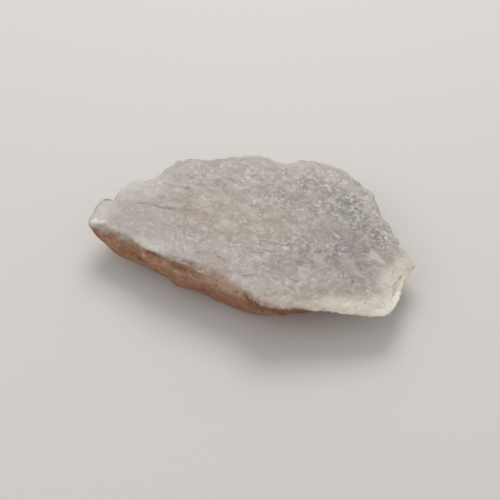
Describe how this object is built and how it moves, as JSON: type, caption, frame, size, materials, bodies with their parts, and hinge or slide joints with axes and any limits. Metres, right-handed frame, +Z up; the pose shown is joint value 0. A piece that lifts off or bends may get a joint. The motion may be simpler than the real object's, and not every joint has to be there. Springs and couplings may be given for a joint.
{
  "type": "mangano calcite hand specimen",
  "caption": "Broken slab of massive pale pink calcite with a broad sugary top face, a worn peach front edge, a thin sharp right edge and a flat face to rest on.",
  "frame": {"origin": "middle of the stone's bounding box, on the surface it lies on", "axes": "+X along the slab towards its thin pointed end, +Y from the worn peach edge to the back edge, +Z up out of the broad top face"},
  "size_m": [0.0654, 0.0396, 0.0113],
  "materials": {
    "calcite": "rough, translucent, sugary break, with waxy peach sides"
  },
  "bodies": {
    "root": {"mangano_calcite": "calcite"}
  },
  "joints": []
}
